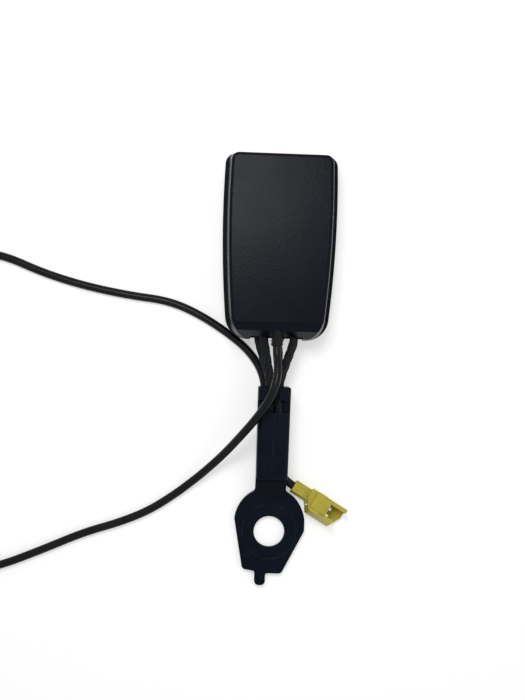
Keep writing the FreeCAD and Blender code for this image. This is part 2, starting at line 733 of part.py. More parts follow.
# Latch on its pin
latch = new_body("latch")
pad(latch, "XY_Plane", "latch_top - latch_thick", "latch_thick",
    rectangle("-latch_half", "latch_half", "pin_y", "latch_reach"))
pad(latch, "YZ_Plane", "0", "2 * latch_half", ("pin_y", "pin_z", "hub_radius"), side=0)
pad(latch, "YZ_Plane", "0", "2 * nose_half", [
    ("nose_start - nose_thick", "latch_top - latch_thick"),
    ("nose_end", "latch_top - latch_thick"),
    ("nose_end", "nose_top - nose_slant"),
    ("nose_start + nose_tip", "nose_top"),
    ("nose_start", "nose_top"),
    ("nose_start", "latch_top"),
    ("nose_start - nose_thick", "latch_top"),
], side=0)
pocket(latch, "YZ_Plane", "0", "3 * latch_half", ("pin_y", "pin_z", "pin_radius + play"), side=0)
pocket(latch, "XY_Plane", "0", "axis_z * 2", rectangle(
    "-hub_gap_half", "hub_gap_half", "pin_y - 2 * hub_radius", "pin_y + 2 * hub_radius"))

pin = new_body("latch_pin")
pad(pin, "YZ_Plane", "0", "2 * frame_half", ("pin_y", "pin_z", "pin_radius"), side=0)
for side, way in (("-", -1), ("", 1)):
    pad(pin, "YZ_Plane", f"{side}(frame_half - gap)", "pin_head", ("pin_y", "pin_z", "pin_radius"), side=way)
    pad(pin, "YZ_Plane", f"{side}(frame_half + hairline)", "pin_head",
        ("pin_y", "pin_z", "pin_radius + pin_head"), side=way)

# Press button
button = new_body("press_button")
pad(button, "XZ_Plane", "button_end", "button_skin",
    rectangle("-button_half", "button_half", "button_low", "button_high"), side=-1)
pad(button, "XY_Plane", "button_low", "button_skin - weld",
    rectangle("-button_half", "button_half", "button_back", "button_end - weld"))
for side, way in (("-", -1), ("", 1)):
    pad(button, "YZ_Plane", f"{side}leg_inner", "leg_thick",
        rectangle("leg_start", "button_end - weld", "button_low", "button_high - weld"), side=way)
    pad(button, "YZ_Plane", f"{side}(leg_inner + play)", "latch_half - arm_gap_half + 0.8", [
        ("latch_reach + ramp_start", "latch_top"),
        ("latch_reach + ramp_start + ramp_drop - weld", "latch_top - ramp_drop"),
        ("latch_reach + ramp_start + ramp_drop + ramp_flat - weld", "latch_top - ramp_drop"),
        ("latch_reach + ramp_start + ramp_drop + ramp_flat - weld", "latch_top"),
    ], side=-way)
soften(button, "button_round", within(
    Vector(-size("button_half") - 1, size("button_end") - 0.05, size("button_low") - 1),
    Vector(size("button_half") + 1, size("button_end") + 0.05, size("button_high") + 1)))

# Ejector
ejector = new_body("ejector")
pad(ejector, "XY_Plane", "ejector_low", "ejector_high - ejector_low", [
    ("-leg_outer", "ejector_start"),
    ("leg_outer", "ejector_start"),
    ("leg_outer", "ejector_end"),
    ("arm_gap_half", "ejector_end"),
    ("arm_gap_half", "ejector_start + bar_long"),
    ("-arm_gap_half", "ejector_start + bar_long"),
    ("-arm_gap_half", "ejector_end"),
    ("-leg_outer", "ejector_end"),
])
pad(ejector, "XY_Plane", "ejector_mid - ear_thick / 2", "ear_thick", rectangle(
    "-frame_half - ear_left_out", "frame_half + ear_right_out", "ejector_start", "ejector_start + bar_long"))


# Springs
def coil(name, foot, heading, length, radius, wire, turns):
    """Wind a spring of hexagonal wire from its foot along its heading."""
    pitch = (length - wire) / turns
    path = Part.Wire(Part.makeHelix(pitch, length - wire, radius))
    corners = [Vector(radius + wire / 2 * math.cos(math.radians(60 * step)), 0,
                      wire / 2 * math.sin(math.radians(60 * step))) for step in range(6)]
    section = Part.makePolygon(corners + corners[:1])
    solid = path.makePipeShell([section], True, True)
    solid.translate(Vector(0, 0, wire / 2))
    feature = new_feature(name, solid)
    feature.Placement = Placement(foot, Rotation(Vector(0, 0, 1), heading))


post_face = size("post_start + post_thick")
spring_z = size("(button_low + button_high) / 2")
coil("button_spring", Vector(0, post_face + size("gap"), spring_z), Vector(0, 1, 0),
     size("button_end - button_skin - 2 * gap") - post_face, size("button_coil"), size("wire_dia"), 5)
coil("latch_spring", Vector(0, size("pin_y + latch_coil_y"), size("wall + gap")), Vector(0, 0, 1),
     size("latch_top - latch_thick - wall - 2 * gap"), size("latch_coil"), size("wire_dia"), 4)
coil("ejector_spring", Vector(size("frame_half + ejector_coil + gap + play"), size("spring_seat_y + gap / 2"),
                              size("ejector_mid")), Vector(0, 1, 0),
     size("ejector_start - spring_seat_y - gap"), size("ejector_coil"), size("thin_wire_dia"), 7)

# Buckle switch: a tray beside the frame, two contact strips, and a slider on the ejector's ear
switch = new_body("switch_housing")
pad(switch, "XY_Plane", "switch_low", "switch_high",
    rectangle("-switch_outer", "-switch_inner", "switch_start", "switch_end"))
pocket(switch, "XY_Plane", "switch_low + switch_skin", "switch_high - 2 * switch_skin",
       rectangle("-switch_outer + switch_skin", "-switch_inner + 1", "switch_start + 2", "switch_end + 1"))

slider = new_body("switch_slider")
slider_gap = "(switch_skin + contact_thick + play)"
pad(slider, "XY_Plane", f"switch_low + {slider_gap}", f"switch_high - 2 * {slider_gap}", rectangle(
    "-switch_outer + switch_skin + gap", "-switch_inner - play",
    "ejector_start - slider_long", "ejector_start"))

contacts = new_body("switch_contacts")
for low in ("switch_low + switch_skin", "switch_low + switch_high - switch_skin - contact_thick"):
    pad(contacts, "XY_Plane", low, "contact_thick", rectangle(
        "-switch_outer + switch_skin", "-switch_inner - 2 * gap", "switch_start + 2", "switch_end - 2"))

# Grommet in the tail of the back cover, where the lead comes out
grommet = new_body("lead_grommet")
pad(grommet, "XZ_Plane", "grommet_tip_y", "grommet_out + grommet_in", ("lead_x", "lead_z", "grommet_half"))
for place in ("grommet_tip_y + grommet_rib", "grommet_tip_y + 3 * grommet_rib"):
    pad(grommet, "XZ_Plane", place, "grommet_rib", ("lead_x", "lead_z", "grommet_half + grommet_rib / 2"))
pocket(grommet, "XZ_Plane", "grommet_tip_y - 1", "grommet_out + grommet_in + 2",
       ("lead_x", "lead_z", "lead_dia / 2 + play"))

# Connector, which lies with one long side on the anchor plate; modelled straight, then turned
plug_turn = Rotation(Vector(0, 0, 1), size("plug_turn"))
plug_lean = Rotation(Vector(1, 0, 0), size("plug_lean"))
plug_place = Placement(Vector(size("plug_x"), size("plug_y"), 0), plug_turn.multiply(plug_lean))

hood = new_body("connector_housing")
pad(hood, "XY_Plane", "0", "neck_high", rectangle("0", "hood_start + 1", "-neck_wide", "0"))
pad(hood, "XY_Plane", "0", "hood_high", [
    ("hood_start", "-neck_wide"),
    ("hood_start + hood_flare", "-hood_wide"),
    ("plug_long - hood_slant", "-hood_wide"),
    ("plug_long", "-hood_wide / 3"),
    ("plug_long", "0"),
    ("hood_start", "0"),
])
for low in ("-hood_wide", "-rail_wide"):
    pad(hood, "XY_Plane", "hood_high - weld", "rail_high + weld",
        rectangle("hood_start + hood_flare", "socket_start + 1", low, f"{low} + rail_wide"))
pocket(hood, "YZ_Plane", "socket_start", "socket_deep + 1",
       rectangle("-hood_wide + hood_wall", "-hood_wall", "hood_wall", "hood_high - hood_wall"))
pocket(hood, "XY_Plane", "hood_high - 2 * hood_wall", "3 * hood_wall", rectangle(
    "socket_start + hood_flare", "plug_long + 1", "-hood_wide + 2 * hood_wall", "-2 * hood_wall"))
pocket(hood, "YZ_Plane", "-1", "hood_start", ("-neck_wide / 2", "neck_high / 2", "lead_dia / 2 + hairline"))
pocket(hood, "XY_Plane", "neck_high - weld", "1", rectangle(
    "hood_flare", "hood_start - hood_wall", "-neck_wide / 2 - hood_wall", "-neck_wide / 2 + hood_wall"))
for way in ("-", "+"):
    pocket(hood, "YZ_Plane", "hood_start + hood_wall", "socket_start - hood_start", rectangle(
        f"-hood_wide / 2 {way} blade_space / 2 - blade_half - hairline",
        f"-hood_wide / 2 {way} blade_space / 2 + blade_half + hairline",
        "hood_high / 2 - blade_half / 2 - hairline", "hood_high / 2 + blade_half / 2 + hairline"))
hood.Placement = plug_place

lock = new_body("connector_lock")
pad(lock, "XY_Plane", "hood_high + hairline", "lock_thick", rectangle(
    "hood_start + hood_flare", "hood_start + hood_flare + lock_long",
    "-hood_wide + rail_wide + play", "-rail_wide - play"))
lock.Placement = plug_place

blades = new_body("connector_terminals")
for way in ("-", "+"):
    middle = f"-hood_wide / 2 {way} blade_space / 2"
    pad(blades, "YZ_Plane", "hood_start + hood_wall", "socket_start + blade_long - hood_start - hood_wall",
        rectangle(f"{middle} - blade_half", f"{middle} + blade_half",
                  "hood_high / 2 - blade_half / 2", "hood_high / 2 + blade_half / 2"))
blades.Placement = plug_place

# Lead: out over the ropes, down to the surface, round in a loop, and back under the ropes to the connector
LEAD_FREE = [
    (0.1, 79.0, 18.6),
    (0.1, 73.4, 18.6),
    (0.8, 67.9, 21.0),
    (0.5, 62.1, 22.8),
    (-1.5, 55.7, 22.9),
    (-6.1, 48.1, 20.6),
    (-12.7, 39.6, 15.2),
    (-19.8, 31.0, 8.6),
    (-28.2, 22.7, 3.6),
    (-33.0, 18.7, 2.63),
]
LEAD_LAID = [
    (-33.0, 18.7, 2.63),
    (-37.8, 14.7, 1.66),
    (-48.9, 7.1, 1.66),
    (-61.2, 1.8, 1.66),
    (-75.0, -2.5, 1.66),
    (-91.4, -9.9, 1.66),
    (-108.9, -17.2, 1.66),
    (-127.0, -21.5, 1.66),
    (-146.0, -17.6, 1.66),
    (-160.0, -2.4, 1.66),
    (-167.0, 18.8, 1.66),
    (-169.0, 43.0, 1.66),
    (-166.0, 67.5, 1.66),
    (-157.0, 88.7, 1.66),
    (-143.0, 104.2, 1.66),
    (-126.4, 110.2, 1.66),
    (-111.3, 108.8, 1.66),
    (-94.9, 102.1, 1.66),
    (-77.5, 97.3, 1.66),
    (-59.2, 94.1, 1.66),
    (-44.1, 92.6, 1.66),
    (-32.0, 87.9, 1.66),
    (-19.9, 80.7, 1.66),
    (-10.0, 73.0, 1.66),
    (-4.0, 63.6, 1.66),
    (-3.2, 52.0, 1.66),
    (-4.7, 40.8, 1.66),
    (-3.3, 32.2, 1.66),
    (-0.2, 27.6, 1.66),
    (2.3, 24.8, 1.8),
    (5.1, 22.2, 2.25),
]
LEAD_INTO_NECK = [plug_place.multVec(Vector(along, -size("neck_wide / 2"), size("neck_high / 2")))
                  for along in (-1.6, 1)]


def lead(name, route):
    """Lay one stretch of the lead along its route."""
    path, bends = smooth_route([Vector(*point) for point in route])
    print(name, "length", round(path.Length, 1), "bend radii", [round(bend, 1) for bend in bends])
    new_feature(name, tube(path, size("lead_dia / 2")))


lead("lead_at_buckle", LEAD_FREE)
lead("lead", LEAD_LAID + LEAD_INTO_NECK)

doc.recompute()
for item in doc.Objects:
    if {"Invalid", "Error"} & set(item.State):
        raise ValueError(f"{item.Label} has failed: {item.State}")
os.makedirs("parts", exist_ok=True)
for feature in PARTS:
    check_part(feature)
    feature.Shape.exportStep(os.path.join("parts", feature.Label + ".step"))
print(len(PARTS), "pieces written")
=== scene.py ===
# %% [markdown]
# # A seat belt buckle on a steel rope stalk
#
# This lesson dresses a CAD model of a car's seat belt buckle. The buckle is a moulded housing with its
# steel mechanism inside, two loops of steel rope that carry it, a folded steel bracket with a bolt hole, and
# the thin lead of the buckle switch with its small yellow connector.
#
# The CAD model is loaded as a fixed frame. Its pieces are never moved: each of them gets a finish, and the
# ropes, springs and lead are replaced by finer ones. All lengths are in metres.

import json
import math

import bpy
from mathutils import Matrix, Vector


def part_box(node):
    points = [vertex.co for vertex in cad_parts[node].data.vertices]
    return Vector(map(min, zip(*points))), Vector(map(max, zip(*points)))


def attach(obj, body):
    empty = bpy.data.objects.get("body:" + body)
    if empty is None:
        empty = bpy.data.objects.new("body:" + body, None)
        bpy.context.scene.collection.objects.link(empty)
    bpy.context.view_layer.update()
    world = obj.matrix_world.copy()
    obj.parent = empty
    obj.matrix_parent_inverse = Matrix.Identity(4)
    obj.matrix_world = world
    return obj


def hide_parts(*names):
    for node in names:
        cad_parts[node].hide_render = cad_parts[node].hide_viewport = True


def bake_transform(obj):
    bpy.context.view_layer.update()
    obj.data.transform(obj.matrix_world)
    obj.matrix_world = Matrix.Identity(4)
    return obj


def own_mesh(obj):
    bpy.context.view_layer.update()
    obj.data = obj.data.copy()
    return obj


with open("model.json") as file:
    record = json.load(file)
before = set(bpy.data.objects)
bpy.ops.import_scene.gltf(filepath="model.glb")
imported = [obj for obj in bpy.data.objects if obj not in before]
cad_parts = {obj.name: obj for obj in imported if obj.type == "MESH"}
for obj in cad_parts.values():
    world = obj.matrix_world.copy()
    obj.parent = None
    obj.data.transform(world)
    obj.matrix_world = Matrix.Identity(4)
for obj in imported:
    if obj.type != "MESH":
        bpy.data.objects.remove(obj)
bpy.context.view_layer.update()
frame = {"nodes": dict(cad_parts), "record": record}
scene = bpy.context.scene
print("CAD pieces:", len(frame["nodes"]))

# %% [markdown]
# ## The camera
#
# The photograph was taken from almost straight above, about half a metre away, and the picture is turned by
# two degrees. A camera could be aimed by a constraint, but three axis vectors written out are easier to
# reason about: one for the viewing direction, one for the picture's right and one for its top.

# %% Place the camera
LEAN = math.radians(1.5)
PICTURE_TURN = math.radians(1.9)
DISTANCE = 0.48
AIM = Vector((-0.005, 0.0738, 0.0))
FOCAL_PIXELS = 1173.6
PICTURE_HIGH = 700
SENSOR_WIDE = 36.0

looking = Vector((math.sin(LEAN), 0.0, -math.cos(LEAN)))
level_right = looking.cross(Vector((0.0, 1.0, 0.0))).normalized()
level_top = level_right.cross(looking)
right = level_right * math.cos(PICTURE_TURN) + level_top * math.sin(PICTURE_TURN)
top = level_top * math.cos(PICTURE_TURN) - level_right * math.sin(PICTURE_TURN)

camera_data = bpy.data.cameras.new("camera")
camera_data.sensor_width = SENSOR_WIDE
camera_data.lens = FOCAL_PIXELS * SENSOR_WIDE / PICTURE_HIGH
camera_data.clip_start = 0.01
camera_data.clip_end = 20.0
camera = bpy.data.objects.new("camera", camera_data)
scene.collection.objects.link(camera)
turned = Matrix((right, top, -looking)).transposed().to_4x4()
camera.matrix_world = Matrix.Translation(AIM - looking * DISTANCE) @ turned
scene.camera = camera
print("camera stands at", [round(value, 3) for value in camera.location])

# %% [markdown]
# ## The line of the lead
#
# A lead hangs and lies in one smooth line. A NURBS spline gives that: its control points pull the line
# towards them without kinks. The first points lead it out of the strain relief and over the ropes, the next
# let it sink to the floor, and the others lay it round in the loop whose two branches the photograph shows.
# It passes under the ropes and ends in the yellow connector. The points are those of the CAD route.

# %% Draw a smooth spline through space
MM = 0.001


def smooth_line(name, points):
    """Make a curve object whose one spline is led by control points in millimetres."""
    curve = bpy.data.curves.new(name, "CURVE")
    curve.dimensions = "3D"
    curve.resolution_u = 10
    spline = curve.splines.new("NURBS")
    spline.points.add(len(points) - 1)
    for point, place in zip(spline.points, points):
        point.co = (*(value * MM for value in place), 1.0)
    spline.order_u = 3
    spline.use_endpoint_u = True
    line = bpy.data.objects.new(name, curve)
    scene.collection.objects.link(line)
    return line


def points_on(line):
    """Read the places that a curve runs through."""
    mesh = bpy.data.meshes.new_from_object(line)
    places = [vertex.co.copy() for vertex in mesh.vertices]
    bpy.data.meshes.remove(mesh)
    return places


# %% Lead the switch lead along its route
LEAD_POINTS = [
    (0.1, 79.0, 18.6),
    (0.1, 73.4, 18.6),
    (0.8, 67.9, 21.0),
    (0.5, 62.1, 22.8),
    (-1.5, 55.7, 22.9),
    (-6.1, 48.1, 20.6),
    (-12.7, 39.6, 15.2),
    (-19.8, 31.0, 8.6),
    (-28.2, 22.7, 3.6),
    (-33.0, 18.7, 2.63),
    (-37.8, 14.7, 1.66),
    (-48.9, 7.1, 1.66),
    (-61.2, 1.8, 1.66),
    (-75.0, -2.5, 1.66),
    (-91.4, -9.9, 1.66),
    (-108.9, -17.2, 1.66),
    (-127.0, -21.5, 1.66),
    (-146.0, -17.6, 1.66),
    (-160.0, -2.4, 1.66),
    (-167.0, 18.8, 1.66),
    (-169.0, 43.0, 1.66),
    (-166.0, 67.5, 1.66),
    (-157.0, 88.7, 1.66),
    (-143.0, 104.2, 1.66),
    (-126.4, 110.2, 1.66),
    (-111.3, 108.8, 1.66),
    (-94.9, 102.1, 1.66),
    (-77.5, 97.3, 1.66),
    (-59.2, 94.1, 1.66),
    (-44.1, 92.6, 1.66),
    (-32.0, 87.9, 1.66),
    (-19.9, 80.7, 1.66),
    (-10.0, 73.0, 1.66),
    (-4.0, 63.6, 1.66),
    (-3.2, 52.0, 1.66),
    (-4.7, 40.8, 1.66),
    (-3.3, 32.2, 1.66),
    (-0.2, 27.6, 1.66),
    (2.3, 24.8, 1.8),
    (5.1, 22.2, 2.25),
    (7.94, 19.81, 2.83),
    (10.17, 18.47, 2.83),
]
LEAD_THICK = 3.3 * MM

lead_line = smooth_line("lead_line", LEAD_POINTS)
lead_path = points_on(lead_line)
measured = sum((after - before).length for before, after in zip(lead_path, lead_path[1:]))
print("the lead's line is", round(measured, 4), "m long")

# %% [markdown]
# ## Helpers for node trees
#
# Both shaders and Geometry Nodes are built from nodes that are wired together. Small helpers keep that
# readable: one adds a node, sets its options and wires its inputs in one call, three do sums with numbers
# and vectors, and one gives a tree its named inputs and outputs.

# %% Add and wire a node


def add(tree, kind, options=None, wires=None):
    """Add a node; a wire is another node's output, or a plain value for the socket."""
    node = tree.nodes.new(kind)
    for name, value in (options or {}).items():
        setattr(node, name, value)
    for key, source in (wires or {}).items():
        if isinstance(source, bpy.types.NodeSocket):
            tree.links.new(source, node.inputs[key])
        else:
            node.inputs[key].default_value = source
    return node


def math_of(tree, operation, *values):
    """Work out one number from others."""
    wires = dict(enumerate(values))
    return add(tree, "ShaderNodeMath", {"operation": operation}, wires).outputs[0]


def vector_of(tree, operation, first, second):
    """Work out one vector from two, or from one and a factor."""
    second_key = "Scale" if operation == "SCALE" else 1
    node = add(tree, "ShaderNodeVectorMath", {"operation": operation}, {0: first, second_key: second})
    return node.outputs[0]


def ranged(tree, value, low, high):
    """Stretch a value so that low becomes 0 and high becomes 1."""
    wires = {"Value": value, "From Min": low, "From Max": high}
    return add(tree, "ShaderNodeMapRange", None, wires).outputs[0]


def name_sockets(tree, inputs, outputs):
    """Give a tree its named inputs, each with a start value, and its named outputs."""
    for name, (kind, value) in inputs.items():
        socket = tree.interface.new_socket(name, in_out="INPUT", socket_type=kind)
        if value is not None:
            socket.default_value = value
    for name, kind in outputs.items():
        tree.interface.new_socket(name, in_out="OUTPUT", socket_type=kind)


# %% Run a Geometry Nodes tree and keep its mesh


def grow(tree, name, values, start=None):
    """Run a tree on a start object, or on nothing, and keep the result as a plain mesh object."""
    holder = start or bpy.data.objects.new(name, bpy.data.meshes.new(name))
    if start is None:
        scene.collection.objects.link(holder)
    modifier = holder.modifiers.new("nodes", "NODES")
    modifier.node_group = tree
    for item in tree.interface.items_tree:
        if item.item_type == "SOCKET" and item.in_out == "INPUT" and item.name in values:
            modifier[item.identifier] = values[item.name]
    graph = bpy.context.evaluated_depsgraph_get()
    mesh = bpy.data.meshes.new_from_object(holder.evaluated_get(graph))
    mesh.name = name
    holder.modifiers.remove(modifier)
    bpy.data.objects.remove(holder)
    piece = bpy.data.objects.new(name, mesh)
    scene.collection.objects.link(piece)
    print(name, "has", len(mesh.polygons), "faces")
    return piece


# %% [markdown]
# ## Shared effects for the finishes
#
# Three effects come back in several finishes, so each is a node group that is built once: the fine grain of
# a mould that was etched, the wear that rubs a coating thin along edges, which on the housing and the bracket
# also carries a painted highlight, and the cloudy unevenness of a surface that has been handled. Each group
# gives only masks and heights; the shader itself stays in the material. All patterns read Object coordinates,
# in metres, so a scale of 1000 means one cell for each millimetre.

# %% The grain of an etched mould
grain = bpy.data.node_groups.new("Mould Grain", "ShaderNodeTree")
name_sockets(grain, {
    "Cells Per Metre": ("NodeSocketFloat", 1500.0),
    "Fine Share": ("NodeSocketFloat", 0.4),
}, {"Height": "NodeSocketFloat", "Pits": "NodeSocketFloat"})
given = add(grain, "NodeGroupInput")
place = add(grain, "ShaderNodeTexCoord").outputs["Object"]
warp = add(grain, "ShaderNodeTexNoise", None, {"Vector": place, "Scale": 900.0, "Detail": 2.0})
bend = vector_of(grain, "SCALE", warp.outputs["Color"], 0.0006)
bent = vector_of(grain, "ADD", place, bend)
cells = add(grain, "ShaderNodeTexVoronoi", {"feature": "SMOOTH_F1"},
            {"Vector": bent, "Scale": given.outputs["Cells Per Metre"], "Smoothness": 0.6})
fine = add(grain, "ShaderNodeTexNoise", None, {"Vector": place, "Scale": 5200.0, "Detail": 3.0})
fine_part = math_of(grain, "MULTIPLY", fine.outputs["Fac"], given.outputs["Fine Share"])
height = math_of(grain, "ADD", cells.outputs["Distance"], fine_part)
pits = ranged(grain, cells.outputs["Distance"], 0.15, 0.6)
add(grain, "NodeGroupOutput", None, {"Height": height, "Pits": pits})

# %% Wear along the edges, also used as a painted edge highlight
edge_wear_and_highlight = bpy.data.node_groups.new("Edge Wear And Highlight", "ShaderNodeTree")
name_sockets(edge_wear_and_highlight, {
    "Width": ("NodeSocketFloat", 0.0004),
    "Patches Per Metre": ("NodeSocketFloat", 260.0),
}, {"Mask": "NodeSocketFloat"})
given = add(edge_wear_and_highlight, "NodeGroupInput")
rounded = add(edge_wear_and_highlight, "ShaderNodeBevel", {"samples": 6}, {"Radius": given.outputs["Width"]})
flat = add(edge_wear_and_highlight, "ShaderNodeNewGeometry").outputs["Normal"]
facing = add(edge_wear_and_highlight, "ShaderNodeVectorMath", {"operation": "DOT_PRODUCT"}, {0: rounded.outputs[0], 1: flat})
turning = math_of(edge_wear_and_highlight, "SUBTRACT", 1.0, facing.outputs["Value"])
worn_and_lit_edge = ranged(edge_wear_and_highlight, turning, 0.02, 0.22)
place = add(edge_wear_and_highlight, "ShaderNodeTexCoord").outputs["Object"]
patches = add(edge_wear_and_highlight, "ShaderNodeTexNoise", None, {
    "Vector": place, "Scale": given.outputs["Patches Per Metre"], "Detail": 4.0, "Roughness": 0.7})
broken = ranged(edge_wear_and_highlight, patches.outputs["Fac"], 0.38, 0.62)
add(edge_wear_and_highlight, "NodeGroupOutput", None, {"Mask": math_of(edge_wear_and_highlight, "MULTIPLY", worn_and_lit_edge, broken)})

# %% Clouds and smears from handling
clouds = bpy.data.node_groups.new("Handled", "ShaderNodeTree")
name_sockets(clouds, {
    "Patches Per Metre": ("NodeSocketFloat", 60.0),
    "Specks Per Metre": ("NodeSocketFloat", 1400.0),
}, {"Cloud": "NodeSocketFloat", "Specks": "NodeSocketFloat"})
given = add(clouds, "NodeGroupInput")
place = add(clouds, "ShaderNodeTexCoord").outputs["Object"]
cloud = add(clouds, "ShaderNodeTexNoise", None, {
    "Vector": place, "Scale": given.outputs["Patches Per Metre"], "Detail": 5.0, "Roughness": 0.55})
even = ranged(clouds, cloud.outputs["Fac"], 0.3, 0.7)
speck = add(clouds, "ShaderNodeTexNoise", None, {
    "Vector": place, "Scale": given.outputs["Specks Per Metre"], "Detail": 2.0})
dots = ranged(clouds, speck.outputs["Fac"], 0.62, 0.74)
add(clouds, "NodeGroupOutput", None, {"Cloud": even, "Specks": dots})

# %% Start a material and place an effect in it


def start_material(name, roughness=0.5, metallic=0.0, specular=0.5):
    """Make a material with one Principled shader and give back its tree and shader."""
    material = bpy.data.materials.new(name)
    material.use_nodes = True
    tree = material.node_tree
    shader = tree.nodes["Principled BSDF"]
    shader.inputs["Roughness"].default_value = roughness
    shader.inputs["Metallic"].default_value = metallic
    shader.inputs["Specular IOR Level"].default_value = specular
    return material, tree, shader


def effect(tree, group, values):
    """Place one of the shared effects with its own values."""
    node = add(tree, "ShaderNodeGroup", {"node_tree": group})
    for name, value in values.items():
        node.inputs[name].default_value = value
    return node.outputs


def mix_colour(tree, mask, low, high):
    """Blend from one colour to another by a mask."""
    node = add(tree, "ShaderNodeMix", {"data_type": "RGBA"}, {0: mask})
    for socket, value in ((node.inputs[6], low), (node.inputs[7], high)):
        if isinstance(value, bpy.types.NodeSocket):
            tree.links.new(value, socket)
        else:
            socket.default_value = (*value, 1.0)
    return node.outputs[2]


def paint(tree, shader, mask, low, high):
    """Colour the shader from one colour to another by a mask."""
    tree.links.new(mix_colour(tree, mask, low, high), shader.inputs["Base Color"])


def polish(tree, shader, mask, low, high):
    """Vary the shader's roughness between two numbers by a mask."""
    varied = add(tree, "ShaderNodeMapRange", None, {"Value": mask, "To Min": low, "To Max": high})
    tree.links.new(varied.outputs[0], shader.inputs["Roughness"])


def bumpy(tree, shader, height, distance, strength):
    """Let a height field tilt the shader's normal."""
    node = add(tree, "ShaderNodeBump", None, {"Height": height, "Distance": distance, "Strength": strength})
    tree.links.new(node.outputs["Normal"], shader.inputs["Normal"])


FINISHES = {}

# %% [markdown]
# ## Grained black plastic
#
# The housing is moulded in black plastic with a fine leather-like grain. In daylight it looks a little blue,
# with a soft sheen where the light falls flat on it. A flat black would look like a hole, so the colour
# drifts between two near blacks, the grain is raised by a bump, and the edges are paler: partly wear where
# fingers touch, partly a painted highlight along the rounded edges. The front shell is duller than the back
# one and greyer, and its paler grey is painted light that stands in for the light its sides catch; one
# function makes both plastics from their numbers.

# %% Housing plastic
ROUGHNESS_DRIFT = 0.04


def grained_plastic(name, specular, roughness, low, high, worn_and_lit_edge):
    """Make one of the two housing plastics from its gloss and its colours."""
    material, tree, shader = start_material(name, specular=specular)
    skin = effect(tree, grain, {"Cells Per Metre": 1350.0, "Fine Share": 0.5})
    touch = effect(tree, clouds, {"Patches Per Metre": 45.0, "Specks Per Metre": 1100.0})
    rub_and_highlight = effect(tree, edge_wear_and_highlight, {"Width": 0.0006, "Patches Per Metre": 320.0})
    body = mix_colour(tree, touch["Cloud"], low, high)
    pitted = mix_colour(tree, skin["Pits"], (0.0014, 0.0026, 0.006), body)
    # The paler edge colour is partly wear and partly a painted highlight along the rounded edges.
    paint(tree, shader, rub_and_highlight["Mask"], pitted, worn_and_lit_edge)
    polish(tree, shader, touch["Cloud"], roughness - ROUGHNESS_DRIFT, roughness + ROUGHNESS_DRIFT)
    bumpy(tree, shader, skin["Height"], 0.00012, 0.2)
    return material


FINISHES["black_plastic"] = grained_plastic(
    "grained_black_plastic", specular=0.072, roughness=0.26,
    low=(0.0012, 0.0026, 0.0072), high=(0.0022, 0.004, 0.0092), worn_and_lit_edge=(0.018, 0.021, 0.028))
# The front shell is a lighter copy of the plastic: its paler grey is painted light for the light its sides
# catch.
front_shell_lit_copy = grained_plastic(
    "front_shell_lit_copy_plastic", specular=0.07, roughness=0.6,
    low=(0.0045, 0.0055, 0.0068), high=(0.007, 0.008, 0.009), worn_and_lit_edge=(0.012, 0.013, 0.014))

# %% Plain plastic of the inner pieces
material, tree, shader = start_material("inner_plastic", specular=0.4)
touch = effect(tree, clouds, {"Patches Per Metre": 120.0, "Specks Per Metre": 2500.0})
paint(tree, shader, touch["Cloud"], (0.055, 0.057, 0.06), (0.085, 0.087, 0.09))
polish(tree, shader, touch["Cloud"], 0.36, 0.5)
bumpy(tree, shader, touch["Specks"], 0.00003, 0.3)
FINISHES["inner_plastic"] = material

# %% Red plastic of the press button
material, tree, shader = start_material("red_button_plastic", specular=0.5)
skin = effect(tree, grain, {"Cells Per Metre": 2600.0, "Fine Share": 0.3})
touch = effect(tree, clouds, {"Patches Per Metre": 90.0, "Specks Per Metre": 1800.0})
rub_and_highlight = effect(tree, edge_wear_and_highlight, {"Width": 0.0005, "Patches Per Metre": 400.0})
body = mix_colour(tree, touch["Cloud"], (0.48, 0.018, 0.012), (0.6, 0.03, 0.02))
paint(tree, shader, rub_and_highlight["Mask"], body, (0.66, 0.1, 0.08))
polish(tree, shader, touch["Cloud"], 0.28, 0.42)
bumpy(tree, shader, skin["Height"], 0.00004, 0.4)
FINISHES["red_plastic"] = material

# %% [markdown]
# ## Coated and plated steel
#
# The bracket is dipped in a black coating that is duller and bluer than the plastic. Its edges turn a greyer
# tone, partly wear of the coating and partly a painted highlight. The mechanism inside the housing is zinc
# plated: bright, slightly blue, with fine rolling marks along the sheet. Metals get their look from what they
# mirror, so their roughness varies more than their colour.

# %% Black coating of the bracket
material, tree, shader = start_material("black_coated_steel", specular=0.06)
touch = effect(tree, clouds, {"Patches Per Metre": 110.0, "Specks Per Metre": 1700.0})
rub_and_highlight = effect(tree, edge_wear_and_highlight, {"Width": 0.00055, "Patches Per Metre": 240.0})
body = mix_colour(tree, touch["Cloud"], (0.0008, 0.0026, 0.0078), (0.0022, 0.0044, 0.0102))
dusty = mix_colour(tree, touch["Specks"], body, (0.012, 0.015, 0.02))
# The greyer edge colour is partly wear and partly a painted highlight.
paint(tree, shader, rub_and_highlight["Mask"], dusty, (0.04, 0.043, 0.048))
polish(tree, shader, touch["Cloud"], 0.33, 0.5)
bumpy(tree, shader, touch["Cloud"], 0.00025, 0.35)
FINISHES["black_steel"] = material

